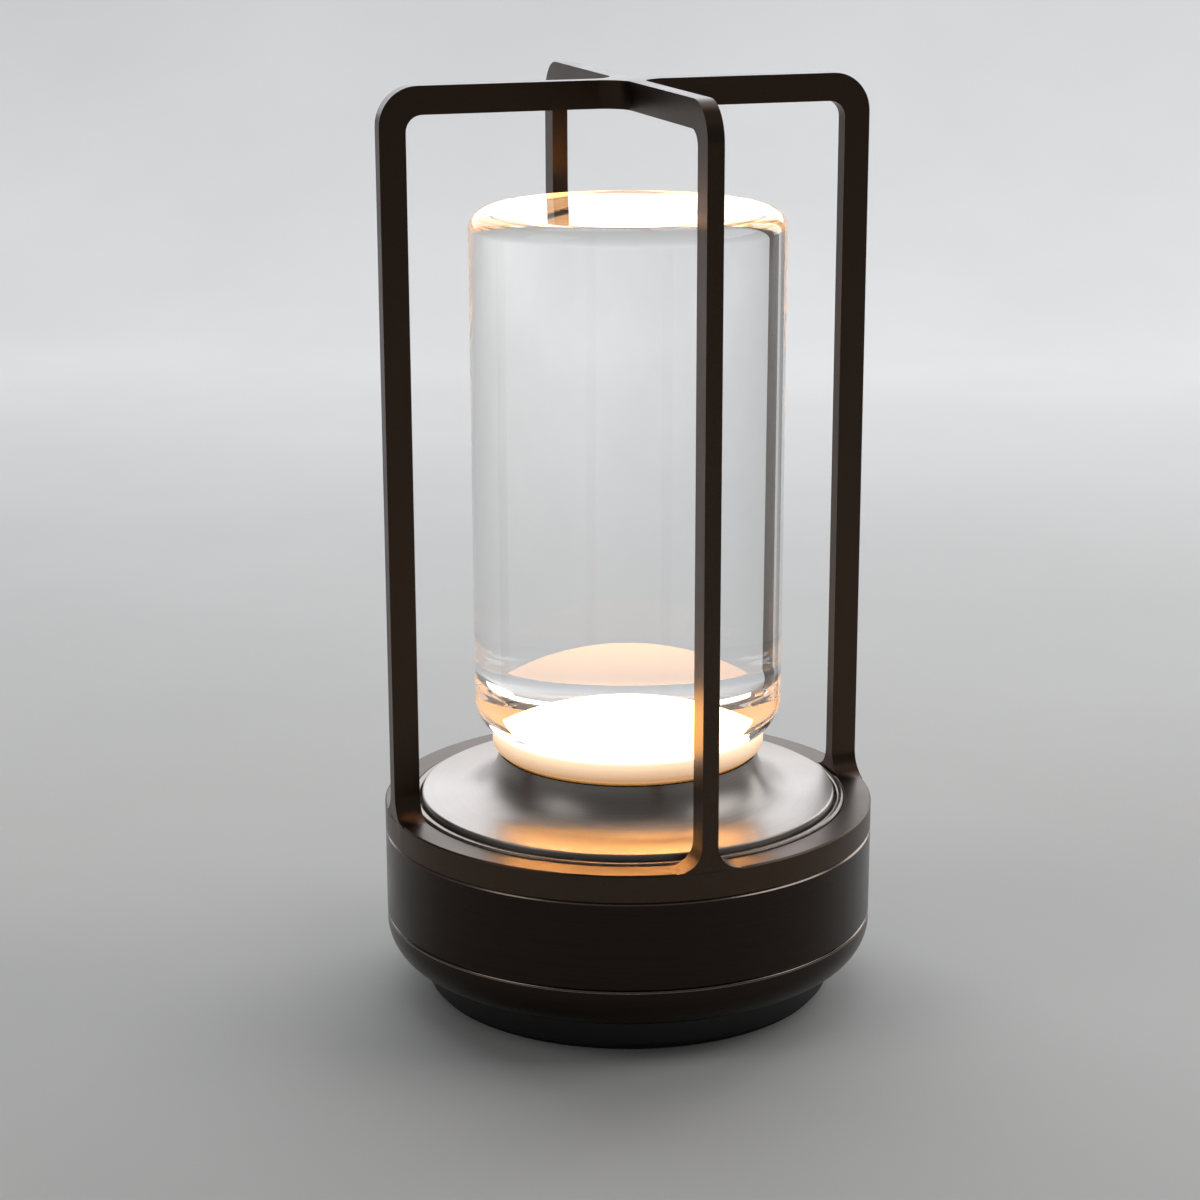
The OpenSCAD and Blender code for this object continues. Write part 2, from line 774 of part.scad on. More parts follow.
cage();
cage_gasket();
bezel_ring();
body_band();
base_gasket();
base_cap();
foot_plate();
foot_pad();
chassis();
center_post();
post_nut();
lamp_cup();
led_board();
led_chips();
led_screws();
led_leads();
led_plug();
diffuser();
glass_cylinder();
press_plate();
guide_bush();
return_spring();
switch_body();
switch_plunger();
main_board();
board_parts();
board_screws();
usb_socket();
battery_cells();
battery_tabs();
battery_leads();
battery_cradle();
cage_screws();
base_screws();
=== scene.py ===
"""Looks of a cordless table lamp: a solid glass cylinder over a lit dome, inside a four-armed cage.

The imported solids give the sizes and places. This script softens or turns the pieces that show, gives every
piece its finish, and sets up the studio and the camera. Lengths in the classes below are millimetres, or
metres where a class says so, and meshes are metres.
"""

import json
import logging
import math
from dataclasses import dataclass
from enum import Enum
from typing import Any

import bmesh
import bpy
from mathutils import Euler, Matrix, Vector

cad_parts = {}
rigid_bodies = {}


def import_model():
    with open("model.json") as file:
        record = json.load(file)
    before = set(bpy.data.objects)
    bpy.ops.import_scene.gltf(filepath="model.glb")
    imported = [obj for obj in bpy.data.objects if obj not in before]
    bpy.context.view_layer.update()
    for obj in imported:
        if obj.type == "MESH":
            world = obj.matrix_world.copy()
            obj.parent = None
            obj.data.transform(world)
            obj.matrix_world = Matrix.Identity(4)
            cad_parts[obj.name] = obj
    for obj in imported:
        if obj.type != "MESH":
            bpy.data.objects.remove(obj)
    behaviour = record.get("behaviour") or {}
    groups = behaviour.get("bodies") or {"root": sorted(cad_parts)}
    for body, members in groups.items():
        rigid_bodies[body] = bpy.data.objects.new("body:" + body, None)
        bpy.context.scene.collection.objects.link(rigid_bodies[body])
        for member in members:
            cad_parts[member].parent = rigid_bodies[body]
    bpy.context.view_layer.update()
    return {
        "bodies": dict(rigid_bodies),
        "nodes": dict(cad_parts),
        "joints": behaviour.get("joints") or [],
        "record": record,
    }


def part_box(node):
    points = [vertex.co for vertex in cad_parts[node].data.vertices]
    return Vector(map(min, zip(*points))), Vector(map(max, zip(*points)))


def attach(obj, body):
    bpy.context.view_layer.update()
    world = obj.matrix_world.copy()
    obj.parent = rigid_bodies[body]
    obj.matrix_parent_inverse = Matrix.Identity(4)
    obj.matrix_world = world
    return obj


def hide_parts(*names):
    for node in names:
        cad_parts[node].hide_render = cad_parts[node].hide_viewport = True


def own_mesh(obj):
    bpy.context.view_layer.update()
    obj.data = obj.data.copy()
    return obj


LOG = logging.getLogger("table_lamp")
MM = 0.001
MERGE = 1e-6
SHARP_ANGLE = math.radians(38)
FLAT_ANGLE = math.radians(0.3)
# Steps across a rounded edge of a CAD node.
EDGE_STEPS = 3
# Steps in a small rounding of a turned outline, and in each millimetre of a larger one.
ARC_STEPS = 4
# Share of a full turn between the marks of a surface and the way that they draw out reflections.
QUARTER_TURN = 0.25
# The part of a noise pattern's range that holds most of its values.
NOISE_MIDDLE = {"From Min": 0.3, "From Max": 0.7}
# Degrees that the camera, and the sweep behind the lamp, are turned from looking along +Y.
CAMERA_TURN = -17.84


def linear(hex_colour: str) -> tuple[float, float, float, float]:
    """Turns an sRGB hex colour into linear red, green, blue and alpha.

    Args:
        hex_colour: the colour as "#rrggbb".

    Returns:
        The four channels, with an alpha of 1.
    """
    channels = [int(hex_colour[i:i + 2], 16) / 255 for i in (1, 3, 5)]
    red, green, blue = (c / 12.92 if c <= 0.04045 else ((c + 0.055) / 1.055) ** 2.4 for c in channels)
    return red, green, blue, 1.0


def add_node(tree: bpy.types.NodeTree, kind: str, inputs: dict | None = None,
             **settings: Any) -> bpy.types.Node:
    """Adds a shader node with its settings and links.

    Args:
        tree: the node tree that takes the node.
        kind: the node's type name.
        inputs: for each input, by name or number, a value or the output socket that feeds it.
        settings: the node's own properties.

    Returns:
        The new node.
    """
    node = tree.nodes.new(kind)
    for name, value in settings.items():
        setattr(node, name, value)
    for key, value in (inputs or {}).items():
        if isinstance(value, bpy.types.NodeSocket):
            tree.links.new(value, node.inputs[key])
        else:
            node.inputs[key].default_value = value
    return node


class Lay(Enum):
    """How the fine marks of a worked surface run."""

    GRAIN = "even grain"
    BRUSHED = "lines round the axis, one above the other"
    TURNED = "lines round the axis, one inside the other"


@dataclass(frozen=True)
class Finish:
    """The surface of one material.

    Attributes:
        name: common name of the material and how its surface was made.
    """

    name: str

    def surface(self, tree: bpy.types.NodeTree) -> bpy.types.Node:
        """Builds the shader of this finish.

        Args:
            tree: the node tree of the material.

        Returns:
            The shader node.
        """
        raise NotImplementedError

    def material(self) -> bpy.types.Material:
        """Makes the material of this finish once.

        Returns:
            The material.
        """
        found = bpy.data.materials.get(self.name)
        if found:
            return found
        made = bpy.data.materials.new(self.name)
        made.use_nodes = True
        made.node_tree.nodes.clear()
        shader = self.surface(made.node_tree)
        add_node(made.node_tree, "ShaderNodeOutputMaterial", {"Surface": shader.outputs[0]})
        return made


def marks(tree: bpy.types.NodeTree, lay: Lay, pitch: float, length: float) -> bpy.types.NodeSocket:
    """Makes the pattern of fine marks on a surface.

    Args:
        tree: the node tree that takes the pattern.
        lay: how the marks run.
        pitch: spacing of the marks.
        length: how long one mark is.

    Returns:
        The socket with the pattern, from 0 to 1.
    """
    place = add_node(tree, "ShaderNodeTexCoord").outputs["Object"]
    along, across = 1 / (length * MM), 1 / (pitch * MM)
    if lay is Lay.TURNED:
        axes = add_node(tree, "ShaderNodeSeparateXYZ", {0: place})
        flat = add_node(tree, "ShaderNodeCombineXYZ", {0: axes.outputs[0], 1: axes.outputs[1]})
        radius = add_node(tree, "ShaderNodeVectorMath", {0: flat.outputs[0]}, operation="LENGTH")
        out = add_node(tree, "ShaderNodeMath", {0: radius.outputs["Value"], 1: axes.outputs[2]},
                       operation="SUBTRACT")
        place = add_node(tree, "ShaderNodeCombineXYZ",
                         {0: axes.outputs[0], 1: axes.outputs[1], 2: out.outputs[0]}).outputs[0]
    scale = {Lay.GRAIN: (across, across, across)}.get(lay, (along, along, across))
    mapped = add_node(tree, "ShaderNodeMapping", {"Vector": place, "Scale": scale})
    noise = add_node(tree, "ShaderNodeTexNoise",
                     {"Vector": mapped.outputs[0], "Scale": 1.0, "Detail": 3.0, "Roughness": 0.6})
    return noise.outputs["Fac"]


def tinted(tree: bpy.types.NodeTree, source: bpy.types.NodeSocket, dark: str,
           light: str) -> bpy.types.NodeSocket:
    """Lays a noise pattern between two colours.

    Args:
        tree: the node tree that takes the nodes.
        source: the pattern.
        dark: colour where the pattern is dark.
        light: colour where the pattern is bright.

    Returns:
        The socket with the colour.
    """
    share = add_node(tree, "ShaderNodeMapRange", {"Value": source, **NOISE_MIDDLE})
    colours = {"Factor": share.outputs[0], "A": linear(dark), "B": linear(light)}
    return add_node(tree, "ShaderNodeMix", colours, data_type="RGBA").outputs["Result"]


@dataclass(frozen=True)
class WorkedMetal(Finish):
    """A metal with the marks that its last working step left.

    Attributes:
        dark: colour in the marks.
        light: colour between the marks.
        roughness: middle of the roughness.
        lay: how the marks run.
        pitch: spacing of the marks, drawn coarse enough to show.
        length: length of one mark.
        depth: depth of the marks.
        stretch: anisotropy of the reflection, which is drawn out across the marks.
        handled: width of the dull clouds that handling leaves.
        sway: share by which the roughness varies.
    """

    dark: str
    light: str
    roughness: float
    lay: Lay
    pitch: float
    length: float = 1.0
    depth: float = 0.01
    stretch: float = 0.0
    handled: float = 14.0
    sway: float = 0.18

    def surface(self, tree: bpy.types.NodeTree) -> bpy.types.Node:
        """Builds the shader of this finish.

        Args:
            tree: the node tree of the material.

        Returns:
            The shader node.
        """
        fine = marks(tree, self.lay, self.pitch, self.length)
        clouds = marks(tree, Lay.GRAIN, self.handled, self.handled)
        worn = add_node(tree, "ShaderNodeMath", {0: fine, 1: clouds}, operation="ADD")
        half = add_node(tree, "ShaderNodeMath", {0: worn.outputs[0], 1: 0.5}, operation="MULTIPLY")
        rough = add_node(tree, "ShaderNodeMapRange", {
            "Value": half.outputs[0],
            **NOISE_MIDDLE,
            "To Min": self.roughness * (1 - self.sway),
            "To Max": self.roughness * (1 + self.sway),
        })
        bump = add_node(tree, "ShaderNodeBump", {"Height": fine, "Distance": self.depth * MM})
        inputs = {
            "Base Color": tinted(tree, fine, self.dark, self.light),
            "Metallic": 1.0,
            "Roughness": rough.outputs[0],
            "Normal": bump.outputs[0],
            "Anisotropic": self.stretch,
            "Anisotropic Rotation": QUARTER_TURN,
        }
        if self.stretch:
            round_axis = add_node(tree, "ShaderNodeTangent", direction_type="RADIAL", axis="Z")
            inputs["Tangent"] = round_axis.outputs[0]
        return add_node(tree, "ShaderNodeBsdfPrincipled", inputs)


@dataclass(frozen=True)
class Moulded(Finish):
    """A moulded plastic or rubber with the fine grain of its mould.

    Attributes:
        dark: colour in the hollows of the grain.
        light: colour on the grain.
        roughness: middle of the roughness.
        grain: width of the grain, drawn coarse enough to show.
        depth: depth of the grain.
        ior: index of refraction.
        sway: share by which the roughness varies.
    """

    dark: str
    light: str
    roughness: float
    grain: float = 0.5
    depth: float = 0.02
    ior: float = 1.5
    sway: float = 0.15

    def surface(self, tree: bpy.types.NodeTree) -> bpy.types.Node:
        """Builds the shader of this finish.

        Args:
            tree: the node tree of the material.

        Returns:
            The shader node.
        """
        fine = marks(tree, Lay.GRAIN, self.grain, self.grain)
        rough = add_node(tree, "ShaderNodeMapRange", {
            "Value": fine,
            **NOISE_MIDDLE,
            "To Min": self.roughness * (1 - self.sway),
            "To Max": self.roughness * (1 + self.sway),
        })
        bump = add_node(tree, "ShaderNodeBump", {"Height": fine, "Distance": self.depth * MM})
        return add_node(tree, "ShaderNodeBsdfPrincipled", {
            "Base Color": tinted(tree, fine, self.dark, self.light),
            "Roughness": rough.outputs[0],
            "IOR": self.ior,
            "Normal": bump.outputs[0],
        })


@dataclass(frozen=True)
class SolderMask(Finish):
    """A circuit board: solder mask over copper tracks.

    Attributes:
        mask: colour of the mask over bare board.
        track: colour of the mask over copper.
        pitch: spacing of the tracks.
        rise: height of the tracks under the mask.
        soft: share of that height that shows through the mask.
        roughness: roughness of the mask.
        ior: index of refraction of the mask.
    """

    mask: str
    track: str
    pitch: float
    rise: float = 0.03
    soft: float = 0.4
    roughness: float = 0.35
    ior: float = 1.52

    def surface(self, tree: bpy.types.NodeTree) -> bpy.types.Node:
        """Builds the shader of this finish.

        Args:
            tree: the node tree of the material.

        Returns:
            The shader node.
        """
        place = add_node(tree, "ShaderNodeTexCoord").outputs["Object"]
        cells = add_node(tree, "ShaderNodeTexVoronoi", {"Vector": place, "Scale": 1 / (self.pitch * MM)},
                         distance="MANHATTAN", feature="F1")
        raised = {"Height": cells.outputs["Distance"], "Strength": self.soft, "Distance": self.rise * MM}
        bump = add_node(tree, "ShaderNodeBump", raised)
        return add_node(tree, "ShaderNodeBsdfPrincipled", {
            "Base Color": tinted(tree, cells.outputs["Distance"], self.track, self.mask),
            "Roughness": self.roughness,
            "IOR": self.ior,
            "Normal": bump.outputs[0],
        })


@dataclass(frozen=True)
class ClearGlass(Finish):
    """Cast and polished clear glass.

    Attributes:
        ior: index of refraction.
        wave_width: width of the faint upright waves that casting leaves.
        wave_depth: depth of those waves.
        wave_stretch: how many times longer than wide a wave is.
    """

    ior: float
    wave_width: float
    wave_depth: float
    wave_stretch: float = 40.0

    def surface(self, tree: bpy.types.NodeTree) -> bpy.types.Node:
        """Builds the shader of this finish.

        Args:
            tree: the node tree of the material.

        Returns:
            The shader node.
        """
        place = add_node(tree, "ShaderNodeTexCoord").outputs["Object"]
        across = 1 / (self.wave_width * MM)
        up = across / self.wave_stretch
        mapped = add_node(tree, "ShaderNodeMapping", {"Vector": place, "Scale": (across, across, up)})
        waves = add_node(tree, "ShaderNodeTexNoise",
                         {"Vector": mapped.outputs[0], "Scale": 1.0, "Detail": 1.0, "Roughness": 0.4})
        bump = add_node(tree, "ShaderNodeBump",
                        {"Height": waves.outputs["Fac"], "Distance": self.wave_depth * MM})
        return add_node(tree, "ShaderNodeBsdfPrincipled", {
            "Base Color": (1.0, 1.0, 1.0, 1.0),
            "Roughness": 0.0,
            "IOR": self.ior,
            "Transmission Weight": 1.0,
            "Normal": bump.outputs[0],
        })


@dataclass(frozen=True)
class LitOpal(Finish):
    """Opal acrylic lit from below: a white hot dome on a dim dish, a cream rim, and a glow under the rim.

    Attributes:
        body: colour of the unlit acrylic.
        glow: colour of the light.
        cream: colour of the light high on the rim.
        amber: colour of the light low on the rim.
        rim_low: height of the rim's lower edge.
        rim_high: height of the rim's upper edge.
        rim_r: radius of the rim.
        dish_z: height of the dish's flat.
        dome_r: radius of the dome's foot.
        under_r: inner radius of the zone under the rim that lets light out downwards.
        under_to: outer radius of that zone.
        low_strength: brightness at the rim's lower edge.
        high_strength: brightness at the rim's upper edge.
        under_strength: brightness under the rim, which lights the plate below.
        dish_strength: brightness of the dish.
        foot_strength: brightness at the dome's foot.
        top_strength: brightness at the dome's top.
        blend: width over which one zone passes into the next.
        cut: width over which the glow under the rim ends, narrow enough to stay hidden.
        roughness: roughness of the acrylic.
        ior: index of refraction of the acrylic.
    """

    body: str
    glow: str
    cream: str
    amber: str
    rim_low: float
    rim_high: float
    rim_r: float
    dish_z: float
    dome_r: float
    under_r: float
    under_to: float
    low_strength: float = 0.5
    high_strength: float = 1.05
    under_strength: float = 150.0
    dish_strength: float = 0.6
    foot_strength: float = 5.0
    top_strength: float = 22.0
    blend: float = 0.4
    cut: float = 0.1
    roughness: float = 0.35
    ior: float = 1.49

    def surface(self, tree: bpy.types.NodeTree) -> bpy.types.Node:
        """Builds the shader of this finish.

        Args:
            tree: the node tree of the material.

        Returns:
            The shader node.
        """
        place = add_node(tree, "ShaderNodeTexCoord").outputs["Object"]
        height = add_node(tree, "ShaderNodeSeparateXYZ", {0: place}).outputs[2]
        level = add_node(tree, "ShaderNodeVectorMath", {0: place, 1: (1.0, 1.0, 0.0)}, operation="MULTIPLY")
        radius = add_node(tree, "ShaderNodeVectorMath", {0: level.outputs[0]}, operation="LENGTH")
        radius = radius.outputs["Value"]
        # Each edge is 0 at its first length and 1 at its second.
        edges = {
            "up_rim": (height, self.rim_low, self.rim_high),
            "on_rim": (radius, self.rim_r - self.blend, self.rim_r - self.blend / 2),
            "in_dome": (radius, self.dome_r, self.dome_r - self.blend),
            "over_dish": (height, self.dish_z - self.blend, self.dish_z),
            "to_top": (radius, self.dome_r, 0.0),
            "past_cup": (radius, self.under_r, self.under_r + self.blend),
            "in_edge": (radius, self.under_to + self.cut, self.under_to),
            "below": (height, self.rim_low + self.cut, self.rim_low),
        }
        zone: dict[str, bpy.types.NodeSocket] = {}
        for name, (length, start, end) in edges.items():
            marked = {"Value": length, "From Min": start * MM, "From Max": end * MM}
            zone[name] = add_node(tree, "ShaderNodeMapRange", marked).outputs[0]
        # Each sum takes edges, earlier sums and strengths.
        sums = (
            ("rim", "MULTIPLY_ADD", ("up_rim", self.high_strength - self.low_strength, self.low_strength)),
            ("dome", "MULTIPLY", ("in_dome", "over_dish")),
            ("hot", "MULTIPLY_ADD", ("to_top", self.top_strength - self.foot_strength, self.foot_strength)),
            ("ring", "MULTIPLY", ("past_cup", "in_edge")),
            ("under", "MULTIPLY", ("ring", "below")),
            ("face", "MULTIPLY_ADD", ("dome", "hot", self.dish_strength)),
            ("lit", "MULTIPLY_ADD", ("under", self.under_strength, "face")),
        )
        for name, kind, values in sums:
            terms = {index: zone.get(value, value) for index, value in enumerate(values)}
            zone[name] = add_node(tree, "ShaderNodeMath", terms, operation=kind).outputs[0]
        strengths = {"Factor": zone["on_rim"], "A": zone["lit"], "B": zone["rim"]}
        strength = add_node(tree, "ShaderNodeMix", strengths)
        tones = {"Factor": zone["up_rim"], "A": linear(self.amber), "B": linear(self.cream)}
        warm = add_node(tree, "ShaderNodeMix", tones, data_type="RGBA")
        tones = {"Factor": zone["on_rim"], "A": linear(self.glow), "B": warm.outputs["Result"]}
        colour = add_node(tree, "ShaderNodeMix", tones, data_type="RGBA")
        return add_node(tree, "ShaderNodeBsdfPrincipled", {
            "Base Color": linear(self.body),
            "Roughness": self.roughness,
            "IOR": self.ior,
            "Emission Color": colour.outputs["Result"],
            "Emission Strength": strength.outputs[0],
        })


@dataclass(frozen=True)
class Paint(Finish):
    """Matt paint with a faint unevenness.

    Attributes:
        dark: darker tone.
        light: lighter tone.
        cloud: width of the uneven patches.
        roughness: roughness of the paint.
        shine: specular level, low for matt paint.
    """

    dark: str
    light: str
    cloud: float = 180.0
    roughness: float = 0.85
    shine: float = 0.2

    def surface(self, tree: bpy.types.NodeTree) -> bpy.types.Node:
        """Builds the shader of this finish.

        Args:
            tree: the node tree of the material.

        Returns:
            The shader node.
        """
        patches = marks(tree, Lay.GRAIN, self.cloud, self.cloud)
        return add_node(tree, "ShaderNodeBsdfPrincipled", {
            "Base Color": tinted(tree, patches, self.dark, self.light),
            "Roughness": self.roughness,
            "Specular IOR Level": self.shine,
        })


FINISHES: dict[str, Finish] = {
    # Bead-blasted and anodised: an even satin brown, nearly black where it faces the dark.
    "cage_metal": WorkedMetal(
        "aluminium_anodised_dark_bronze_satin", "#46392f", "#4e4137",
        roughness=0.34, lay=Lay.GRAIN, pitch=0.25, depth=0.004),
    # Brushed on the lathe before anodising: fine level lines that draw reflections out sideways.
    "band_metal": WorkedMetal(
        "aluminium_anodised_dark_bronze_brushed", "#302823", "#362e29",
        roughness=0.32, lay=Lay.BRUSHED, pitch=0.16, length=40.0, depth=0.003, stretch=0.5),
    # Cut with a polished tool after anodising, so a thin bright line runs round the plate.
    "bezel_metal": WorkedMetal(
        "aluminium_bright_cut", "#7d736a", "#8a8077",
        roughness=0.28, lay=Lay.TURNED, pitch=0.2, length=30.0, depth=0.003, stretch=0.4),
    # Painted highlight on the upper outer edges of the seams: a paler colour on the faces that lean upwards,
    # in place of the thin lines of light that those edges catch.
    "seam_highlight": WorkedMetal(
        "aluminium_anodised_dark_bronze_painted_highlight", "#7d7068", "#8a7d74",
        roughness=0.2, lay=Lay.GRAIN, pitch=0.25, depth=0.001),
    # Faced on the lathe: rings that fan reflections out from the middle.
    "plate_metal": WorkedMetal(
        "aluminium_turned_satin", "#9d9792", "#a7a19c",
        roughness=0.38, lay=Lay.TURNED, pitch=0.2, length=60.0, depth=0.0006, stretch=0.6),
    # Spark-eroded mould: a matt black that hardly reflects.
    "foot_plastic": Moulded("abs_moulded_black", "#0d0d0d", "#171616", roughness=0.5),
    # Pressed rubber: dull and slightly grey.
    "pad_rubber": Moulded(
        "rubber_pressed_black", "#101010", "#191919",
        roughness=0.75, grain=0.4, depth=0.03),
    # Soft silicone: a dull dark line at each seam.
    "seal_rubber": Moulded(
        "silicone_seal_black", "#0f0f0f", "#161616",
        roughness=0.6, grain=0.3, depth=0.01, ior=1.41),
    # Die casting left as it came out: dull grey with soft flow marks.
    "cast_aluminium": WorkedMetal(
        "aluminium_die_cast", "#7f8083", "#97989b",
        roughness=0.48, lay=Lay.GRAIN, pitch=0.8, depth=0.02),
    # Bare lathe work: bright, with fine rings.
    "turned_aluminium": WorkedMetal(
        "aluminium_turned_bare", "#c2c3c5", "#d4d5d7",
        roughness=0.28, lay=Lay.TURNED, pitch=0.3, length=30.0, depth=0.005, stretch=0.4),
    # Painted shade on the upper edge of the neck: a black that stands in for the shade under the rim, so that
    # no bright reflection shows there.
    "neck_painted_shade": Moulded(
        "painted_shade_black", "#080808", "#0e0e0e",
        roughness=0.9, grain=0.3, depth=0.01, ior=1.0),
    # Gold plating: a warm glint in the dark of the socket.
    "contact_gold": WorkedMetal(
        "gold_plated", "#d2aa50", "#e2be68",
        roughness=0.25, lay=Lay.GRAIN, pitch=0.3, depth=0.001),
    # Milled brass: yellow and bright, with rings from the cutter.
    "brass": WorkedMetal(
        "brass_milled", "#b08d3e", "#c9a95a",
        roughness=0.3, lay=Lay.TURNED, pitch=0.25, length=20.0, depth=0.005),
    # White mask on a metal core: sends stray light upwards.
    "light_board": SolderMask("metal_core_board_white", "#ecebe6", "#dcdad2", pitch=1.6),
    # Phosphor under resin: yellow, with a small sharp shine.
    "light_chip": Moulded("phosphor_in_resin", "#dcb13c", "#f0cf63", roughness=0.3, grain=0.3, depth=0.005),
    # Plated steel: pale grey and fairly bright.
    "steel": WorkedMetal(
        "steel_plated", "#a9abad", "#c3c5c6",
        roughness=0.3, lay=Lay.GRAIN, pitch=0.3, depth=0.004),
    # Natural acetal: cream, with a waxy shine.
    "pale_plastic": Moulded(
        "acetal_moulded_natural", "#d3cdbf", "#e2ddd0",
        roughness=0.4, grain=0.5, depth=0.008, ior=1.48),
    # Moulded nylon: black, with a soft sheen.
    "dark_plastic": Moulded(
        "nylon_moulded_black", "#1c1c1e", "#28282a",
        roughness=0.5, grain=0.4, depth=0.02),
    # Green mask on glass fibre, paler over the tracks.
    "circuit_board": SolderMask("glass_fibre_board_green", "#1c5a38", "#2b7a4d", pitch=1.2),
    # Shrink sleeve: smooth blue, with a long soft shine.
    "cell_wrap": Moulded("shrink_sleeve_blue", "#2d5f98", "#3a70ac", roughness=0.32, grain=3.0, depth=0.02),
    # Silicone insulation: red and nearly matt.
    "wire": Moulded(
        "silicone_insulation_red", "#a3241c", "#b8332a",
        roughness=0.5, grain=0.6, depth=0.01, ior=1.41),
    # Polished all over: clear to the far wall, with a bright line along each rounded edge.
    "clear_glass": ClearGlass("glass_cast_polished", ior=1.5, wave_width=6.0, wave_depth=0.003),
}


def piece(bm: bmesh.types.BMesh, name: str) -> bpy.types.Object:
    """Turns a bmesh into an object with soft faces and crisp edges.

    Args:
        bm: the shape, which is freed.
        name: the piece's name.

    Returns:
        The new object, at the origin.
    """
    mesh = bpy.data.meshes.new(name)
    bm.to_mesh(mesh)
    bm.free()
    mesh.shade_smooth()
    mesh.set_sharp_from_angle(angle=SHARP_ANGLE)
    made = bpy.data.objects.new(name, mesh)
    bpy.context.scene.collection.objects.link(made)
    return made


def settle(made: bpy.types.Object) -> None:
    """Bakes an object's modifiers into its mesh.

    Args:
        made: the object.
    """
    bpy.context.view_layer.update()
    graph = bpy.context.evaluated_depsgraph_get()
    final = bpy.data.meshes.new_from_object(made.evaluated_get(graph))
    made.modifiers.clear()
    made.data = final


def softened(node: bpy.types.Object, name: str, width: float) -> bpy.types.Object:
    """Copies a CAD node and rounds its edges, so that they catch the light.

    Args:
        node: the CAD node, which stays as it is.
        name: the piece's name.
        width: width of the rounding.

    Returns:
        The new object.
    """
    bm = bmesh.new()
    bm.from_mesh(node.data)
    bmesh.ops.remove_doubles(bm, verts=bm.verts[:], dist=MERGE)
    bmesh.ops.dissolve_limit(bm, angle_limit=FLAT_ANGLE, verts=bm.verts[:], edges=bm.edges[:])
    edges = [e for e in bm.edges if len(e.link_faces) == 2 and e.calc_face_angle() > SHARP_ANGLE]
    bmesh.ops.bevel(bm, geom=edges, offset=width * MM, offset_type="OFFSET", segments=EDGE_STEPS, profile=0.5,
                    affect="EDGES", clamp_overlap=True, material=-1)
    made = piece(bm, name)
    flat = made.modifiers.new("flat_faces", "WEIGHTED_NORMAL")
    flat.keep_sharp = True
    settle(made)
    return made


@dataclass(frozen=True)
class Corner:
    """One corner of a turned outline.

    Attributes:
        r: distance from the axis.
        z: height above the table.
        soft: radius of the rounding, 0 for a sharp corner.
    """

    r: float
    z: float
    soft: float = 0.0


@dataclass(frozen=True)
class Dome:
    """A cap of a ball, with its middle on the lamp's axis.

    Attributes:
        r: radius at its foot.
        z: height of its foot.
        rise: height of the cap.
        steps: number of steps from its top to its foot.
    """

    r: float
    z: float
    rise: float
    steps: int = 48

    def arc(self, bm: bmesh.types.BMesh) -> list[bmesh.types.BMVert]:
        """Draws the cap's outline, from the axis out.

        Args:
            bm: an empty bmesh.

        Returns:
            The vertices of the outline, in order.
        """
        ball = (self.r ** 2 + self.rise ** 2) / (2 * self.rise)
        top = bm.verts.new((0.0, 0.0, (self.z + self.rise) * MM))
        bmesh.ops.spin(bm, geom=[top], cent=(0, 0, (self.z + self.rise - ball) * MM), axis=(0, 1, 0),
                       angle=math.asin(self.r / ball), steps=self.steps)
        return bm.verts[:]


def turned(outline: list[Corner], name: str, steps: int = 192, dome: Dome | None = None) -> bpy.types.Object:
    """Spins a closed outline round the lamp's axis.

    Args:
        outline: the corners, in order.
        name: the piece's name.
        steps: number of steps in the full turn.
        dome: a cap that the outline starts with.

    Returns:
        The new object.
    """
    bm = bmesh.new()
    arc = dome.arc(bm) if dome else []
    corners = [bm.verts.new((c.r * MM, 0.0, c.z * MM)) for c in outline]
    bm.faces.new(arc + corners)
    for vert, corner in zip(corners, outline):
        if corner.soft:
            bmesh.ops.bevel(bm, geom=[vert], offset=corner.soft * MM, offset_type="OFFSET",
                            segments=max(ARC_STEPS, round(corner.soft * ARC_STEPS)), profile=0.5,
                            affect="VERTICES", material=-1)
    bmesh.ops.delete(bm, geom=bm.faces[:], context="FACES_ONLY")
    on_axis = [e for e in bm.edges if all(v.co.x < MERGE for v in e.verts)]
    bmesh.ops.delete(bm, geom=on_axis, context="EDGES")
    bmesh.ops.spin(bm, geom=bm.verts[:] + bm.edges[:], cent=(0, 0, 0), axis=(0, 0, 1), angle=math.tau,
                   steps=steps, use_merge=True)
    bmesh.ops.remove_doubles(bm, verts=bm.verts[:], dist=MERGE)
    bmesh.ops.recalc_face_normals(bm, faces=bm.faces[:])
    return piece(bm, name)


@dataclass(frozen=True)
class Span:
    """Outer radius and heights of a round CAD node.

    Attributes:
        r: outer radius.
        low: lowest height.
        high: highest height.
    """

    r: float
    low: float
    high: float

    @classmethod
    def of(cls, node: str) -> "Span":
        """Measures a CAD node by its name."""
        low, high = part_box(node)
        return cls(high.x / MM, low.z / MM, high.z / MM)


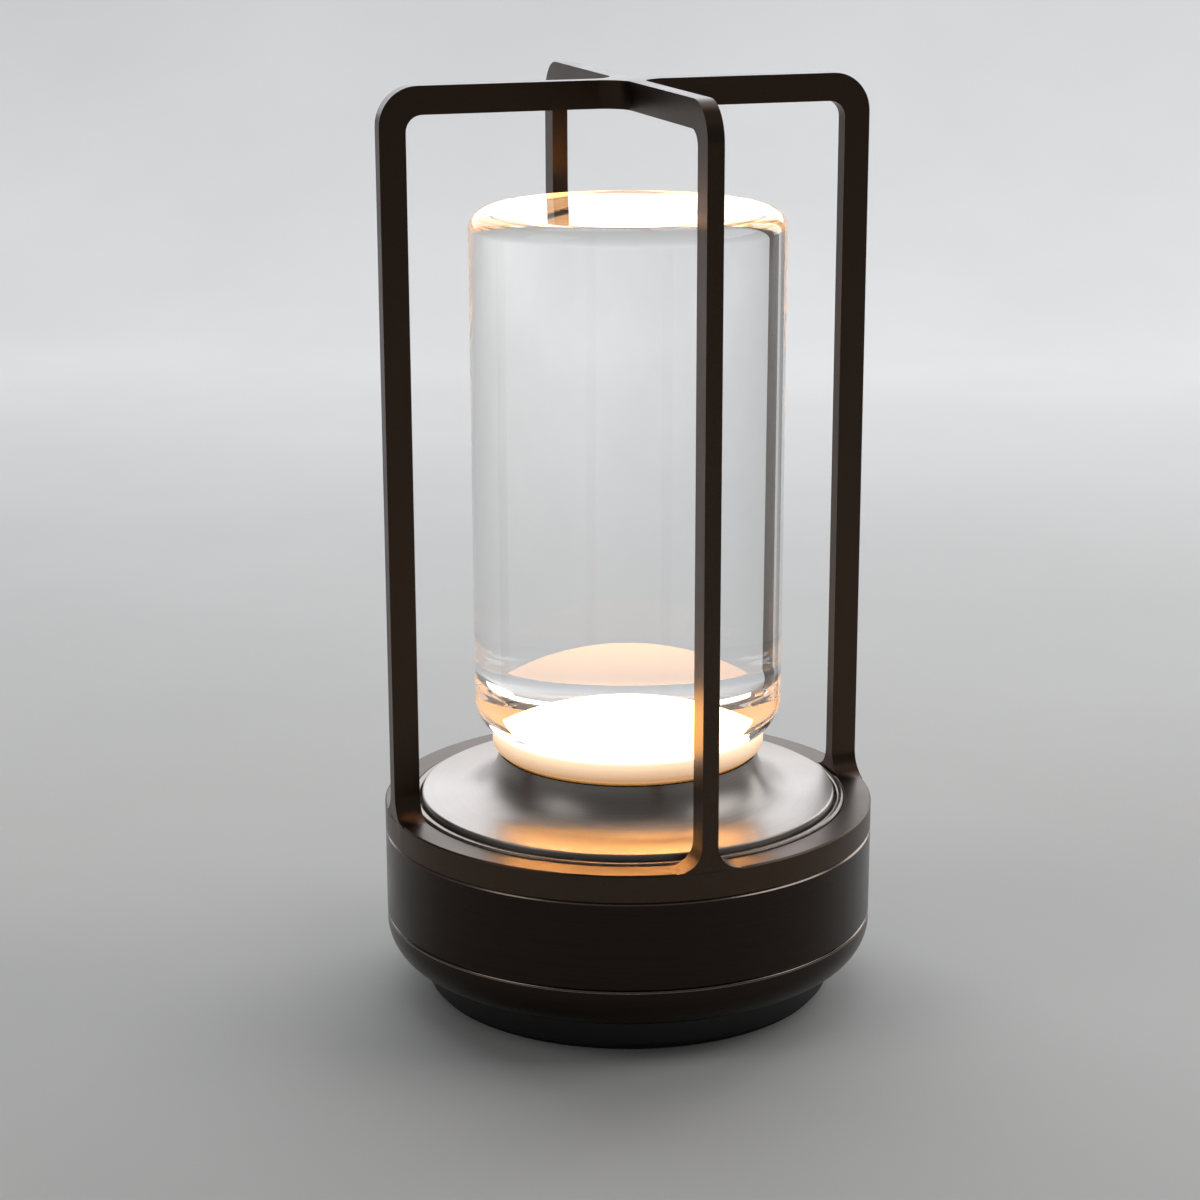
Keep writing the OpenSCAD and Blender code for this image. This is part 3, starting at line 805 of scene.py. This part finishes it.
class Lamp:
    """The pieces of the lamp: what replaces CAD nodes, and what dresses the rest."""

    def __init__(self, frame: dict) -> None:
        """Keeps the nodes with their slots and bodies, and the travel of each joint.
        """
        self.nodes: dict[str, bpy.types.Object] = frame["nodes"]
        self.slots = {s["node"]: s["material_slot"] for s in frame["record"]["subparts"]}
        motion = frame["record"]["behaviour"]
        self.bodies = {n: b for b, members in motion["bodies"].items() for n in members}
        self.travel = {j["name"]: max(j["range_m"]) / MM for j in motion["joints"]}
        self.replaced: set[str] = set()

    def fit(self, made: bpy.types.Object, node: str, finish: Finish | None = None) -> None:
        """Puts a new piece in a CAD node's place.

        Args:
            made: the new piece.
            node: the CAD node that it stands for.
            finish: its finish, where that isn't the one of the node's slot.
        """
        slot = self.slots[node]
        made.data.materials.clear()
        made.data.materials.append((finish or FINISHES[slot]).material())
        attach(made, self.bodies[node])
        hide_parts(node)
        self.replaced.add(node)
        LOG.info("%s: %d faces, on %s", made.name, len(made.data.polygons), self.bodies[node])

    def dress_rest(self) -> None:
        """Gives every CAD node that is still shown the finish of its slot."""
        for name, node in self.nodes.items():
            if name not in self.replaced:
                node.data.materials.clear()
                node.data.materials.append(FINISHES[self.slots[name]].material())
                LOG.info("%s: kept from the CAD model", name)


@dataclass
class Housing:
    """Cage, band, cap and foot: the rigid outside of the lamp.

    Attributes:
        edge: rounding of the cage's edges.
        seam: rounding of the edges on the base.
        foot_edge: rounding of the foot's edges.
        socket_edge: rounding of the charging socket's edges.
        cut: height of the painted highlight under each seam.
        lean: least upward lean of the faces that take the painted highlight.
    """

    edge: float = 0.7
    seam: float = 0.3
    foot_edge: float = 0.25
    socket_edge: float = 0.08
    cut: float = 0.5
    lean: float = 0.1

    def build(self, lamp: Lamp) -> None:
        """Builds the pieces of the housing and fits them.

        Args:
            lamp: the lamp that takes them.
        """
        widths = {
            "cage": self.edge,
            "body_band": self.seam,
            "base_cap": self.seam,
            "bezel_ring": self.seam,
            "foot_plate": self.foot_edge,
            "foot_pad": self.foot_edge,
            "usb_socket": self.socket_edge,
        }
        for node, width in widths.items():
            lamp.fit(softened(lamp.nodes[node], f"{node}_dressed", width), node)
        # The upper outer edge under each seam gets a painted highlight.
        for node, above in {"base_cap": "body_band", "body_band": "cage"}.items():
            self.paint_seam_highlight(bpy.data.objects[f"{node}_dressed"].data, Span.of(above).low)

    def paint_seam_highlight(self, mesh: bpy.types.Mesh, seam: float) -> None:
        """Paints a highlight on the upward-leaning outer edge under a seam.

        Args:
            mesh: the piece under the seam.
            seam: height of the seam.
        """
        mesh.materials.append(FINISHES["seam_highlight"].material())
        # Painted highlight: the outward faces just under the seam that lean upwards take the paler colour.
        for face in mesh.polygons:
            outward = face.normal.x * face.center.x + face.normal.y * face.center.y > 0
            near = abs(face.center.z / MM - seam + self.cut / 2) < self.cut
            if outward and near and face.normal.z > self.lean:
                face.material_index = len(mesh.materials) - 1


@dataclass
class PressPlate:
    """The flared plate that is pressed to switch the lamp.

    Attributes:
        thickness: thickness of the flat plate.
        edge: rounding of its upper edge.
        flare: radius of the hollow flare.
        neck_r: outer radius of the neck.
        neck_wall: wall of the neck.
        hole: radius of the hole round the guide bush.
        lip: rounding of the edges that touch nothing.
        steps: number of steps in the full turn.
    """

    thickness: float = 3.1
    edge: float = 0.4
    flare: float = 7.8
    neck_r: float = 24.4
    neck_wall: float = 1.7
    hole: float = 11.05
    lip: float = 0.15
    steps: int = 256

    def build(self, lamp: Lamp) -> None:
        """Turns the plate and fits it.

        Args:
            lamp: the lamp that takes it.
        """
        plate = Span.of("press_plate")
        top = plate.low + self.thickness
        neck_in = self.neck_r - self.neck_wall
        outline = [
            Corner(self.hole, plate.low),
            Corner(plate.r, plate.low, self.lip),
            Corner(plate.r, top, self.edge),
            Corner(self.neck_r, top, self.flare),
            Corner(self.neck_r, plate.high, self.lip),
            Corner(neck_in, plate.high, self.lip),
            Corner(neck_in, top),
            Corner(self.hole, top),
        ]
        made = turned(outline, "press_plate_dressed", self.steps)
        lamp.fit(made, "press_plate")
        # Painted shade: the upper edge of the neck, under the rim, takes a black finish that hides the bright
        # reflection there.
        made.data.materials.append(FINISHES["neck_painted_shade"].material())
        for face in made.data.polygons:
            if face.center.z / MM > plate.high - 2 * self.lip:
                face.material_index = len(made.data.materials) - 1


@dataclass
class ReturnSpring:
    """The spring under the press plate, which closes as the plate goes down.

    Attributes:
        joint: the joint that closes it; not used.
    """

    joint: str = "plate_press"

    def build(self, lamp: Lamp) -> None:
        """Copies the spring and fits it.

        Args:
            lamp: the lamp that takes it.
        """
        spring = Span.of("return_spring")
        bm = bmesh.new()
        bm.from_mesh(lamp.nodes["return_spring"].data)
        bmesh.ops.remove_doubles(bm, verts=bm.verts[:], dist=MERGE)
        made = piece(bm, "return_spring_dressed")
        lamp.fit(made, "return_spring")
        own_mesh(made)


@dataclass
class ChargingSocket:
    """The black tongue inside the charging socket and the gold contacts on it.

    Attributes:
        tongue: width, height and distance behind the mouth of the tongue.
        contacts: number of contacts on each side.
        pitch: spacing of the contacts.
        contact: width, length and thickness of one contact.
        set_back: distance from the tongue's tip to the contacts.
        slack: how far outside the tongue's box its own faces may lie.
    """

    tongue: tuple[float, float, float] = (6.7, 0.7, 1.0)
    contacts: int = 12
    pitch: float = 0.5
    contact: tuple[float, float, float] = (0.3, 3.6, 0.04)
    set_back: float = 0.5
    slack: float = 0.001

    def build(self, lamp: Lamp) -> None:
        """Colours the tongue and adds the contacts.

        Args:
            lamp: the lamp that takes them.
        """
        low, high = (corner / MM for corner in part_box("usb_socket"))
        middle = (low.z + high.z) / 2
        width, height, depth = self.tongue
        shell = bpy.data.objects["usb_socket_dressed"].data
        shell.materials.append(FINISHES["dark_plastic"].material())
        for face in shell.polygons:
            centre = face.center / MM
            beside = abs(centre.x) - width / 2
            above = abs(centre.z - middle) - height / 2
            before = centre.y - high.y + depth
            # The socket's end walls lie in the same box, but have many corners.
            if max(beside, above, before) < self.slack and len(face.vertices) == 4:
                face.material_index = len(shell.materials) - 1
        bm = bmesh.new()
        y = high.y - depth - self.set_back - self.contact[1] / 2
        for side in (-1, 1):
            for place in range(self.contacts):
                spot = Vector(((place - (self.contacts - 1) / 2) * self.pitch, y, middle + side * height / 2))
                bmesh.ops.create_cube(bm, size=1.0,
                                      matrix=Matrix.LocRotScale(spot * MM, None, Vector(self.contact) * MM))
        made = piece(bm, "socket_contacts")
        made.data.materials.append(FINISHES["contact_gold"].material())
        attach(made, lamp.bodies["usb_socket"])
        LOG.info("%s: %d contacts", made.name, 2 * self.contacts)


@dataclass
class Light:
    """The opal dish with its lit dome, and the solid glass cylinder that stands in it.

    Attributes:
        step: height of the step under the dish.
        step_r: radius of that step.
        rim: height of the rim above the bottom of the glass.
        rim_edge: rounding of the rim's lower edge.
        rim_lip: rounding of the rim's upper edge.
        dome_r: radius of the dome's foot.
        contact: how far the opal reaches into the glass, so that no air lies between.
        glass_foot: rounding of the lower edge of the glass.
        glass_top: rounding of its upper edge.
        steps: number of steps in the full turn.
    """

    step: float = 0.8
    step_r: float = 20.55
    rim: float = 1.0
    rim_edge: float = 1.4
    rim_lip: float = 0.25
    dome_r: float = 16.5
    contact: float = 0.1
    glass_foot: float = 7.0
    glass_top: float = 3.5
    steps: int = 256

    def build(self, lamp: Lamp) -> None:
        """Turns the dish and the glass and fits them.

        Args:
            lamp: the lamp that takes them.
        """
        disc, glass = Span.of("diffuser"), Span.of("glass_cylinder")
        rim_low, rim_high = disc.low + self.step, glass.low + self.rim
        dish_z = glass.low + self.contact
        rise = disc.high - glass.low
        outline = [
            Corner(glass.r - self.glass_foot, dish_z),
            Corner(disc.r, rim_high, self.rim_lip),
            Corner(disc.r, rim_low, self.rim_edge),
            Corner(self.step_r, rim_low),
            Corner(self.step_r, disc.low),
            Corner(0, disc.low),
        ]
        lit = Dome(self.dome_r + self.contact, dish_z, rise)
        # Opal acrylic lit from below: white where it is brightest, amber along its lower edge.
        glow = LitOpal(
            "acrylic_opal_lit", body="#f6ead6", glow="#ffb566", cream="#ffe0b8", amber="#d08a4c",
            rim_low=rim_low, rim_high=rim_high, rim_r=disc.r, dish_z=dish_z, dome_r=self.dome_r,
            under_r=Span.of("lamp_cup").r, under_to=disc.r - self.rim_edge)
        lamp.fit(turned(outline, "diffuser_dressed", self.steps, lit), "diffuser", glow)
        outline = [
            Corner(glass.r, glass.low, self.glass_foot),
            Corner(glass.r, glass.high, self.glass_top),
            Corner(0, glass.high),
        ]
        hollow = Dome(self.dome_r, glass.low, rise)
        lamp.fit(turned(outline, "glass_cylinder_dressed", self.steps, hollow), "glass_cylinder")


@dataclass
class PhotoCamera:
    """The camera at the photograph's angle.

    Attributes:
        place: where it stands.
        turn: degrees that it is turned from looking along +Y.
        pitch: degrees that it looks down.
        roll: degrees that it leans.
        focal_px: focal length in pixels of the square frame.
        axis_y: row of the frame that the optical axis meets.
        frame_px: side of the frame in pixels.
        sensor: width of the sensor.
        near: nearest distance that shows.
        far: farthest distance that shows.
    """

    place: tuple[float, float, float] = (-166.7, -500.9, 215.5)
    turn: float = CAMERA_TURN
    pitch: float = 16.57
    roll: float = -0.16
    focal_px: float = 2930.8
    axis_y: float = 682.4
    frame_px: float = 1200.0
    sensor: float = 36.0
    near: float = 10.0
    far: float = 20000.0

    def build(self) -> None:
        """Makes the camera and gives it to the scene."""
        data = bpy.data.cameras.new("photo_camera")
        data.sensor_width = self.sensor
        data.lens = self.focal_px / self.frame_px * self.sensor
        data.shift_y = (self.axis_y - self.frame_px / 2) / self.frame_px
        data.clip_start, data.clip_end = self.near * MM, self.far * MM
        camera = bpy.data.objects.new("photo_camera", data)
        camera.location = Vector(self.place) * MM
        aim = Euler((math.radians(90 - self.pitch), 0, math.radians(self.turn))).to_matrix()
        lean = Matrix.Rotation(math.radians(self.roll), 3, "Z")
        camera.rotation_euler = (aim @ lean).to_euler()
        bpy.context.scene.collection.objects.link(camera)
        bpy.context.scene.camera = camera
        LOG.info("camera: lens %.1f mm", data.lens)


@dataclass(frozen=True)
class Softbox:
    """A soft studio lamp.

    Attributes:
        name: its name.
        place: where it stands, in metres.
        aim: the point that it faces, in metres.
        size: its width and height, in metres.
        radiance: brightness of its face, where 1 is white.
        colour: colour of its light.
    """

    name: str
    place: tuple[float, float, float]
    aim: tuple[float, float, float]
    size: tuple[float, float]
    radiance: float
    colour: str = "#ffffff"

    def build(self) -> None:
        """Makes the lamp."""
        data = bpy.data.lights.new(self.name, "AREA")
        data.shape = "RECTANGLE"
        data.size, data.size_y = self.size
        data.energy = self.radiance * math.pi * self.size[0] * self.size[1]
        data.color = linear(self.colour)[:3]
        lamp = bpy.data.objects.new(self.name, data)
        lamp.visible_camera = False
        lamp.location = self.place
        lamp.rotation_euler = (Vector(self.aim) - Vector(self.place)).to_track_quat("-Z", "Y").to_euler()
        bpy.context.scene.collection.objects.link(lamp)


@dataclass
class Studio:
    """Pale floor that sweeps up into a wall, soft lamps and an even world.

    Attributes:
        front: how far the floor reaches towards the camera, in metres.
        back: how far the floor reaches behind the lamp, in metres.
        half_width: half of the sweep's width, in metres.
        height: height of the wall, in metres.
        bend: radius of the sweep between floor and wall, in metres.
        bend_steps: number of steps in that bend.
        sky: colour of the world.
        ambient: brightness of the world.
        turn: degrees that the sweep is turned to face the camera.
        bounces: how often light is followed from surface to surface.
    """

    front: float = 3.0
    back: float = 1.1
    half_width: float = 3.0
    height: float = 2.4
    bend: float = 0.45
    bend_steps: int = 24
    sky: str = "#e8ebee"
    ambient: float = 0.16
    turn: float = CAMERA_TURN
    bounces: int = 32

    def build(self) -> None:
        """Builds the sweep, the lamps and the world."""
        bm = bmesh.new()
        line = [(-self.front, 0), (self.back, 0), (self.back, self.height)]
        points = [bm.verts.new((-self.half_width, y, z)) for y, z in line]
        edges = [bm.edges.new(pair) for pair in zip(points, points[1:])]
        grown = bmesh.ops.extrude_edge_only(bm, edges=edges)["geom"]
        moved = [g for g in grown if isinstance(g, bmesh.types.BMVert)]
        bmesh.ops.translate(bm, verts=moved, vec=(2 * self.half_width, 0, 0))
        fold = [e for e in bm.edges if len(e.link_faces) == 2]
        bmesh.ops.bevel(bm, geom=fold, offset=self.bend, offset_type="OFFSET", segments=self.bend_steps,
                        profile=0.5, affect="EDGES", material=-1)
        bmesh.ops.rotate(bm, verts=bm.verts[:], cent=(0, 0, 0),
                         matrix=Matrix.Rotation(math.radians(self.turn), 3, "Z"))
        bmesh.ops.recalc_face_normals(bm, faces=bm.faces[:])
        sweep = piece(bm, "studio_sweep")
        # Matt paint: pale and even, with no shine of its own.
        sweep.data.materials.append(Paint("matt_paint_pale_grey", "#cccbc9", "#d2d1cf").material())
        softboxes = (
            Softbox("window", place=(0.25, 0.85, 0.52), aim=(0, 0, 0.05), size=(1.6, 0.7), radiance=2.0,
                    colour="#f4f8ff"),
            Softbox("side", place=(0.95, 0.5, 0.45), aim=(0, 0, 0.1), size=(0.4, 0.8), radiance=2.0),
            Softbox("right", place=(1.3, -0.3, 1.2), aim=(0, 0, 0), size=(1.0, 1.0), radiance=1.9),
            Softbox("left", place=(-1.3, -0.1, 1.2), aim=(0, 0, 0), size=(0.8, 1.0), radiance=1.0),
            Softbox("top", place=(0.2, 0.85, 1.5), aim=(0, -0.1, 0), size=(1.6, 1.0), radiance=1.2),
        )
        for softbox in softboxes:
            softbox.build()
        world = bpy.data.worlds.new("studio_world")
        world.use_nodes = True
        world.node_tree.nodes.clear()
        shade = add_node(world.node_tree, "ShaderNodeBackground",
                         {"Color": linear(self.sky), "Strength": self.ambient})
        add_node(world.node_tree, "ShaderNodeOutputWorld", {"Surface": shade.outputs[0]})
        bpy.context.scene.world = world
        # Light is turned back many times inside solid glass before it comes out.
        for kind in ("max_bounces", "glossy_bounces", "transmission_bounces"):
            setattr(bpy.context.scene.cycles, kind, self.bounces)
        bpy.context.scene.view_settings.view_transform = "Standard"
        LOG.info("studio: %d softboxes", len(softboxes))


def main() -> None:
    """Builds the lamp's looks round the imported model."""
    logging.basicConfig(level=logging.INFO, format="%(message)s")
    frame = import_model()
    lamp = Lamp(frame)
    Housing().build(lamp)
    PressPlate().build(lamp)
    ReturnSpring().build(lamp)
    ChargingSocket().build(lamp)
    Light().build(lamp)
    lamp.dress_rest()
    Studio().build()
    PhotoCamera().build()


if __name__ == "__main__":
    main()
